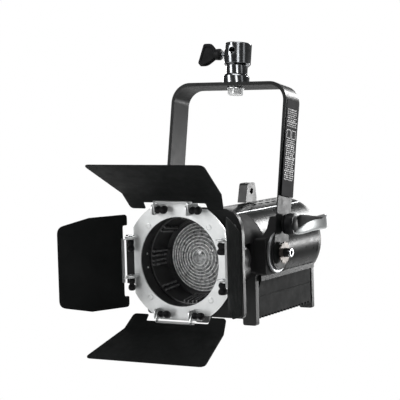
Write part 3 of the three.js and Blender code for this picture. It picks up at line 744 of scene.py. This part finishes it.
def throat_screws():
    """Two bright screws on the sleeve's inner wall."""
    dot = along_x(turned([(0, 0), (1.7, 0), (1.6, 0.6), (1, 1.1), (0, 1.2)], 24))
    for k, z in enumerate((6.9, -11.3)):
        wall = -math.sqrt(SLEEVE_INNER ** 2 - z ** 2) - 0.2
        make(f"throat_screw_{k + 1}", [shifted(dot, x=wall, y=-105.6, z=z)], OPTIC, "barn_ring", BRIGHT,
             bevel=0)


def zone_radius(i):
    """The lens's steps, from the rim at 0 to the bull's-eye at LENS_ZONES."""
    return LENS_EDGE - i * (LENS_EDGE - LENS_CORE) / LENS_ZONES


def dome_y(radius):
    return LENS_RIM - LENS_SAG * (1 - (radius / LENS_EDGE) ** 2)


def stepped_lens():
    """A stepped dome, from the rim to the bull's-eye."""
    back = BARREL_BACK
    rows = [(0, back - 0.3), (48.4, back - 0.3), (48.7, back - 0.7), (48.7, LENS_RIM)]
    rows.append((LENS_EDGE + 0.3, LENS_RIM))
    for i in range(LENS_ZONES):
        outer = zone_radius(i)
        inner = zone_radius(i + 1)
        foot = dome_y(outer) + (0.2 if i == 0 else 1.5)
        crest = dome_y(inner) - STEP_RISE
        for k in range(6):
            t = k / 5
            rows.append((outer + (inner - outer) * t, foot + (crest - foot) * t ** 0.8))
        rows.append((inner - 0.5, crest + 0.3))
    top = rows[-1][1]
    for k in range(7):
        t = k / 6
        rows.append(((LENS_CORE - 0.9) * (1 - t), top + 1.2 - 1.4 * math.sin(math.pi / 2 * t)))
    make("stepped_lens", [turned(rows, 120)], OPTIC, "head", GLASS, ["fresnel_lens"],
         bevel=0, sharp=32)


def lens_riser_highlights():
    """Pale speckled rings at the steps: painted highlight for the light the steps catch."""
    risers = []
    for i in range(LENS_ZONES + 1):
        inner = zone_radius(i)
        crest = dome_y(inner) - STEP_RISE
        section = [(inner - 0.9, crest + 0.5), (inner + 0.3, crest + 0.5), (inner + 0.3, crest - 0.1),
                   (inner - 0.1, crest - 0.35), (inner - 0.7, crest - 0.2)]
        risers.append(turned(section, 120))
    make("lens_riser_highlights", risers, OPTIC, "head", RISER_HIGHLIGHT, bevel=0, sharp=50)


def retainer_ring():
    ring = turned([(46.3, -66), (48.9, -66), (48.9, LENS_RIM - 0.3), (46.3, LENS_RIM - 0.3), (45.6, -63.4),
                   (45.6, -65)], 120)
    make("retainer_ring", [ring], OPTIC, "head", BARREL, ["lens_retainer"], bevel=0, sharp=36)


# ---------- barn door ----------
def span(hand, a, b):
    return (a, b) if hand > 0 else (-b, -a)


def lug_span(hand):
    return span(hand, -33, 31)


def left_lug_painted_shade():
    """The left station's lug is a separate dark piece, a little longer than the others; its dark colour is
    painted shade over the plated lug.
    """
    turn, hand, _, _ = STATIONS["left"]
    x0, x1 = lug_span(hand)
    outline = [(x0, RING_FLAT), (x0, LEFT_LUG_REACH), (x1, LEFT_LUG_REACH), (x1, RING_FLAT)]
    lug = moved(slab([outline], RING_Y, RING_Y + RING_THICK), turn_about("Y", turn))
    # the dark colour here is painted shade, not the lug's plating
    make("left_lug_painted_shade", [lug], OPTIC, "barn_ring", SHADED, bevel=0.2)


def ring_tabs(turn, hand):
    """Two hinge tabs that stand forward from the ring at one station."""
    front = HINGE_Y - 6.5
    back = RING_Y + 1
    tabs = []
    for ear in (EAR_A, EAR_B):
        t0, t1 = span(hand, ear - 2.0, ear - 0.4)
        outline = rounded([(back, 61), (back, 75), (front, 75, 6), (front, 61, 6)])
        tab = slab([outline, circle(HINGE_Y, HINGE_RADIUS, HINGE_HOLE, 24)], t0, t1, "YZ")
        tabs.append(moved(tab, turn_about("Y", turn)))
    return tabs


def ring_plate():
    """Flats at the four stations, lugs on three of them, arcs between, hinge tabs and weld spots."""
    half = math.sqrt(RING_RADIUS ** 2 - RING_FLAT ** 2)
    corner = math.degrees(math.atan2(RING_FLAT, half))
    outline = []
    shapes = []
    for name in ("top", "right", "bottom", "left"):
        turn, hand, _, _ = STATIONS[name]
        x0, x1 = lug_span(hand)
        side = [(-half, RING_FLAT), (x0, RING_FLAT)]
        if name != "left":
            lug = rounded([(x0, RING_FLAT), (x0, LUG_REACH, 3), (x1, LUG_REACH, 3), (x1, RING_FLAT)])
            side += lug[1:-1]
        side += [(x1, RING_FLAT), (half, RING_FLAT)]
        side += arc(0, 0, RING_RADIUS, corner, 90 - corner, 8)[1:-1]
        c, s = math.cos(math.radians(turn)), math.sin(math.radians(turn))
        outline += [(x * c + z * s, -x * s + z * c) for x, z in side]
        shapes += ring_tabs(turn, hand)
    shapes.append(slab([outline, circle(0, 0, APERTURE, 144)], RING_Y, RING_Y + RING_THICK))
    weld = turned([(0, RING_Y + 0.2), (3.9, RING_Y + 0.2), (3.8, RING_Y - 0.35), (3.1, RING_Y - 0.55),
                   (2.6, RING_Y - 0.2), (0, RING_Y - 0.3)], 32)
    for x in (-45, 45):
        for z in (45.5, -48):
            shapes.append(shifted(weld, x=x, z=z))
    make("ring_plate", shapes, OPTIC, "barn_ring", PLATE, ["barn_door_ring"],
         bevel=0.25, corner=40, sharp=36)


def ring_tube():
    back = -99
    front = -120.3
    sleeve = turned([(SLEEVE_INNER, back), (63.4, back), (63.8, back - 0.4), (63.8, front),
                     (SLEEVE_INNER, front)], 144)
    make("ring_tube", [sleeve], OPTIC, "barn_ring", BARREL, ["ring_sleeve"], 0.2)


def leaf_shape(large):
    """The bent sheet as (width, distance, height): two flat panels that share a mitred bend line."""
    offset, bend_at, reach, bend_angle, near, (w0, w1, w2) = LEAF_SIZES[large]
    bend = math.radians(bend_angle)
    flap = reach - bend_at
    notch = 46.5
    outline = rounded([(-w0, near, 5), (-notch, near, 2), (-notch, 8, 2.5), (notch, 8, 2.5),
                       (notch, near, 2), (w0, near, 5), (w1, bend_at), (-w1, bend_at)])
    base = slab([outline], 0, LEAF_THICK, "XY")
    wing = slab([rounded([(-w1, 0), (w1, 0), (w2, flap, 9), (-w2, flap, 9)])], 0, LEAF_THICK, "XY")
    slope = math.tan(bend / 2)
    at_bend = 0.01
    near_points = []
    for x, u, n in base[0]:
        shift = slope * n if u > bend_at - at_bend else 0
        near_points.append((x, u + shift, n + offset))
    far_points = []
    for x, u, n in wing[0]:
        v = u - slope * n if u < at_bend else u
        far_points.append((x, bend_at + v * math.cos(bend) + n * math.sin(bend),
                           offset - v * math.sin(bend) + n * math.cos(bend)))
    return [(near_points, base[1]), (far_points, wing[1])]


# leaf axes (width, away from the hinge, outer side) to station axes
LEAF_AXES = Matrix(((-1, 0, 0, 0), (0, -1, 0, 0), (0, 0, 1, 0), (0, 0, 0, 1)))


def leaf_bracket(name, hand, large, swing):
    """A narrow strip along the leaf with an ear at each end."""
    x0, x1 = span(hand, EAR_A, EAR_B + 7)
    top = 4.2 if large else 5.2
    shapes = [slab([rounded([(x0, -11.4), (x1, -11.4), (x1, -8.3), (x0, -8.3)], 0.8)], 2.7, top, "XY")]
    outline = rounded([(-11.4, 3.6, 0.5), (-11.4, 0, 2.5), (5, -5.5, 5), (5, 3.6, 3), (-6, 4.1, 1)])
    for ear in (EAR_A, EAR_B):
        e0, e1 = span(hand, ear, ear + EAR)
        shapes.append(slab([outline, circle(0, 0, HINGE_HOLE, 24)], e0, e1, "YZ"))
    make(f"leaf_bracket_{name}", shapes, swing, f"leaf_{name}", PLATE, corner=40, sharp=36)


def wing_screw(name, letter, ear, hand, station):
    """A moulded knob on a pin with a nut."""
    body = f"screw_{name}_{letter}"
    place = station @ Matrix.Translation((hand * (ear + EAR) * MM, 0, 0))
    mirror = Matrix.Scale(hand, 4, (1, 0, 0))
    lobes = along_x(turned([(0, 0.4), (3.4, 0.4), (4.4, 0.8), (5.5, 2), (5.9, 3.6), (5.7, 5.2), (4.7, 6.8),
                            (4.3, 7.8), (4.9, 8.9), (6.1, 10.2), (6.5, 12), (6.3, 13.9), (5.2, 15.6),
                            (3.4, 16.3), (0, 16.4)], 36))
    lobes = moved(lobes, turn_about("X", 35) @ Matrix.Scale(0.74, 4, (0, 0, 1)))
    make(f"wing_knob_{name}_{letter}", [moved(lobes, mirror)], place, body, PLASTIC,
         [f"wing_screw_{name}_{letter}"], 0, 30, 50)
    shank = along_x(turned([(0, -5.2), (1.4, -5.1), (2, -4.7), (2, 1), (0, 1)], 24))
    nut = shifted(slab([hexagon(3.5, 30), circle(0, 0, 1.9, 24)], -4.9, -4.1, "YZ"), x=-0.2)
    make(f"wing_pin_{name}_{letter}", [moved(shank, mirror), moved(nut, mirror)], place, body, STEEL,
         bevel=0.15)


def leaf_pieces():
    for name, (turn, hand, opened, large) in STATIONS.items():
        station = OPTIC @ turn_about("Y", turn) @ Matrix.Translation((0, HINGE_Y * MM, HINGE_RADIUS * MM))
        swing = station @ turn_about("X", -opened)
        panels = [moved(panel, LEAF_AXES) for panel in leaf_shape(large)]
        make(f"barn_leaf_{name}", panels, swing, f"leaf_{name}", LEAF, [f"leaf_{name}"],
             bevel=0.35, corner=40, sharp=20)
        leaf_bracket(name, hand, large, swing)
        wing_screw(name, "a", EAR_A, hand, station)
        wing_screw(name, "b", EAR_B, hand, station)


# ---------- inside ----------
def carriage_pieces():
    """The collimator cup, the emitter and its board on the sliding carriage."""
    paint_node("led_carriage", STEEL, 0.4)
    cup = turned([(11, 37.2), (11.4, 34), (14.5, 30), (19, 26), (24, 22), (25.4, 22), (20.4, 26.6),
                  (16, 30.6), (13, 35), (13, 37.2)], 96)
    make("reflector_cup", [cup], OPTIC, "carriage", CHROME, ["collimator_cup"], 0)
    board = turned([(0, 37.7), (20, 37.7), (20, 39.7), (0, 39.7)], 64)
    make("emitter_board", [board], OPTIC, "carriage", BOARD, ["led_board"], 0.2)
    emitter = block(-7, 7, 36, 37.7, -7, 7)
    make("emitter", [emitter], OPTIC, "carriage", PHOSPHOR, bevel=0.4)


def zoom_pieces():
    """The lead screw with its fluted knob and pointer."""
    rows = [(0, 5.9)]
    for k in range(60):
        y = 6.2 + k * 2.75
        rows += [(3.45, y), (2.9, y + 1.3)]
    rows += [(3.4, 172), (3.4, 178.3), (0, 178.3)]
    thread = shifted(turned(rows, 24), z=ZOOM_Z)
    make("zoom_thread", [thread], OPTIC, "zoom", STEEL, ["lead_screw"], 0)
    flutes = []
    for i in range(24):
        flutes += arc(0, 0, 12.4, 15 * i - 4.5, 15 * i + 4.5, 3)
        flutes += arc(0, 0, 11.6, 15 * i + 6.5, 15 * i + 8.5, 1)
    grip = shifted(slab([flutes], 178.5, 194), z=ZOOM_Z)
    cap = shifted(turned([(0, 193.5), (11.2, 193.5), (11, 195.2), (9.6, 196), (0, 196)], 64), z=ZOOM_Z)
    make("zoom_grip", [grip, cap], OPTIC, "zoom", PLASTIC, ["zoom_knob"], 0.35)
    pointer = shifted(block(-0.7, 0.7, 195.9, 196, 4, 9.5), z=ZOOM_Z)
    make("zoom_pointer", [pointer], OPTIC, "zoom", MARKS, bevel=0)


def fan_wheel():
    """A hub with five twisted blades."""
    blades = 5
    hub = turned([(0, 144.2), (10.6, 144.2), (11, 144.8), (11, 154.2), (10.4, 155), (0, 155)], 48)
    shapes = [hub]
    for i in range(blades):
        sections = []
        for k in range(6):
            pitch = math.radians(42 - 3.5 * k)
            chord = Vector((0, math.sin(pitch), math.cos(pitch)))
            normal = Vector((0, math.cos(pitch), -math.sin(pitch)))
            sections.append(((9 + 3.4 * k, 149.6, 0), 4.2 + 0.25 * k, 0.55, chord, normal))
        shapes.append(moved(loft(sections), turn_about("Y", 360 / blades * i)))
    wheel = [shifted(shape, z=FAN_Z) for shape in shapes]
    make("fan_wheel", wheel, OPTIC, "fan", PLASTIC, ["fan_rotor"], 0)


# ---------- rear controls and sockets ----------
def display_pieces():
    foot = REAR_FACE + 0.3
    glass = foot + 1.7
    bezel = slab([rounded([(-21, 36), (21, 36), (21, 50), (-21, 50)], 1.8)], foot, glass)
    make("display_bezel", [bezel], OPTIC, "head", PLASTIC, ["display"], 0.5)
    screen = slab([rounded([(-18.5, 38), (18.5, 38), (18.5, 48), (-18.5, 48)], 0.8)], glass, glass + 0.2)
    make("display_screen", [screen], OPTIC, "head", DISPLAY, bevel=0)


def menu_keys():
    cap = turned([(0, 164), (3.2, 164), (3.2, 178.2), (2.9, 178.8), (2, 179), (0, 178.8)], 40)
    for k, x in enumerate((-18, -6, 6, 18)):
        key = shifted(cap, x=x, z=KEY_Z)
        make(f"menu_key_{k + 1}", [key], OPTIC, f"button_{k + 1}", PLASTIC,
             [f"menu_button_{k + 1}"], 0)
        collar = slab([circle(x, KEY_Z, 5, 40), circle(x, KEY_Z, 3.7, 32)], REAR_FACE, REAR_FACE + 0.4)
        make(f"key_collar_{k + 1}", [collar], OPTIC, "head", DISC, bevel=0.1)


def power_pieces():
    paint_node("power_switch", PLASTIC, 0.4)
    paint_node("power_inlet", PLASTIC, 0.5)
    places = ((-30, -73.5), (-22, -73.5), (-26, -69))
    pins = [block(x - 1, x + 1, 169, 176, z - 2.2, z + 2.2) for x, z in places]
    make("inlet_blades", pins, OPTIC, "head", STEEL)


def data_sockets():
    """Round sockets with their pins in a circle."""
    shell = turned([(0, 166), (9.4, 166), (9.4, 178.6), (9, 179), (7.8, 179), (7.4, 178.6), (7.4, 170),
                    (0, 170)], 64)
    pin = turned([(0, 169.8), (0.8, 169.8), (0.8, 176), (0.4, 176.6), (0, 176.6)], 16)
    for name, x, pin_count in (("data_in", 6, 3), ("data_out", 32, 5)):
        make(f"{name}_shell", [shifted(shell, x=x, z=DATA_Z)], OPTIC, "head", CHROME, [name], 0)
        pins = []
        for i in range(pin_count):
            angle = math.radians(90 + 360 * i / pin_count)
            pins.append(shifted(pin, x=x + 4 * math.cos(angle), z=DATA_Z + 4 * math.sin(angle)))
        make(f"{name}_pins", pins, OPTIC, "head", STEEL, bevel=0)


def zoom_ticks():
    """Eleven plain ticks round the zoom knob."""
    tick = slab([[(15, -0.4), (18, -0.4), (18, 0.4), (15, 0.4)]], REAR_FACE, REAR_FACE + 0.1)
    ticks = [shifted(moved(tick, turn_about("Y", 24 * i - 210)), z=ZOOM_Z) for i in range(11)]
    make("zoom_ticks", ticks, OPTIC, "head", MARKS, bevel=0)


receiver_pieces()
clamp_pieces()
yoke_pieces()
label_pieces()
lever_body()
lever_grip()
lever_paddle()
pivot_pieces()
casing_nodes()
vent_strip()
strip_rails()
casing_screws()
flange_slots()
barrel_pieces()
throat_ribs()
throat_screws()
stepped_lens()
lens_riser_highlights()
retainer_ring()
left_lug_painted_shade()
ring_plate()
ring_tube()
leaf_pieces()
carriage_pieces()
zoom_pieces()
fan_wheel()
display_pieces()
menu_keys()
power_pieces()
data_sockets()
zoom_ticks()


# ---------- floor, light and camera ----------
def stage_floor():
    """A wide pale disc below the part."""
    mesh = bpy.data.meshes.new("floor")
    build = bmesh.new()
    bmesh.ops.create_circle(build, cap_ends=True, segments=96, radius=3)
    build.to_mesh(mesh)
    build.free()
    floor = bpy.data.objects.new("floor", mesh)
    bpy.context.collection.objects.link(floor)
    floor.location = (0, 0, cad_box[0][2] - 0.25)
    material, tree, shader, where = painter("pale_floor")
    tone = mixed(tree, noise(tree, where, 2), (0.92, 0.92, 0.92), (0.94, 0.94, 0.94))
    tree.links.new(tone, shader.inputs["Base Color"])
    shader.inputs["Roughness"].default_value = 0.9
    mesh.materials.append(material)


# name, place, width and height, watts; all aim at the middle of the part
AIM = (0, -0.05, -0.27)
LIGHTS = (
    ("overhead", (0.1, -0.5, 1.6), (1.2, 0.9), 30),
    ("front_left", (-1.5, -1.9, 0.6), (0.9, 1.2), 34),
    ("front_low", (-0.9, -1.6, -0.2), (0.6, 0.25), 5),
    ("right_side", (1.9, -0.3, 0.5), (0.4, 0.8), 2),
    ("front_right", (1.3, -2.2, 0.2), (0.6, 0.5), 12),
    ("back_right", (1.0, 1.75, -0.08), (0.7, 0.14), 15),
    ("behind_right", (0.55, 1.65, 0.9), (0.45, 0.5), 44),
    ("behind_left", (-0.85, 1.7, 0.65), (0.5, 0.4), 2),
    ("rear_left", (-1.7, 1.7, 0.4), (0.8, 0.8), 16),
)


def soft_light(name, place, size, power):
    data = bpy.data.lights.new(name, "AREA")
    data.shape = "RECTANGLE"
    data.size, data.size_y = size
    data.energy = power
    light = bpy.data.objects.new(name, data)
    bpy.context.collection.objects.link(light)
    light.location = place
    light.visible_camera = False
    light.rotation_mode = "QUATERNION"
    light.rotation_quaternion = (Vector(AIM) - Vector(place)).to_track_quat("-Z", "Y")


def white_world():
    """White to the camera, and dim as a light."""
    world = bpy.data.worlds.new("studio")
    bpy.context.scene.world = world
    world.use_nodes = True
    tree = world.node_tree
    sky = tree.nodes["Background"]
    ray = tree.nodes.new("ShaderNodeLightPath")
    strength = tree.nodes.new("ShaderNodeMapRange")
    strength.inputs["To Min"].default_value = 0.14
    strength.inputs["To Max"].default_value = 1.0
    tree.links.new(ray.outputs["Is Camera Ray"], strength.inputs["Value"])
    tree.links.new(strength.outputs["Result"], sky.inputs["Strength"])
    sky.inputs["Color"].default_value = (1, 1, 1, 1)


def photo_camera():
    data = bpy.data.cameras.new("camera")
    data.sensor_width = 36
    data.lens = CAMERA_LENS
    data.clip_start = 0.05
    data.clip_end = 200
    camera = bpy.data.objects.new("camera", data)
    bpy.context.collection.objects.link(camera)
    camera.location = CAMERA_PLACE
    camera.rotation_euler = [math.radians(a) for a in CAMERA_TURN]
    bpy.context.scene.camera = camera


stage_floor()
white_world()
for light in LIGHTS:
    soft_light(*light)
photo_camera()
bpy.context.scene.view_settings.view_transform = "Standard"
bpy.context.view_layer.update()
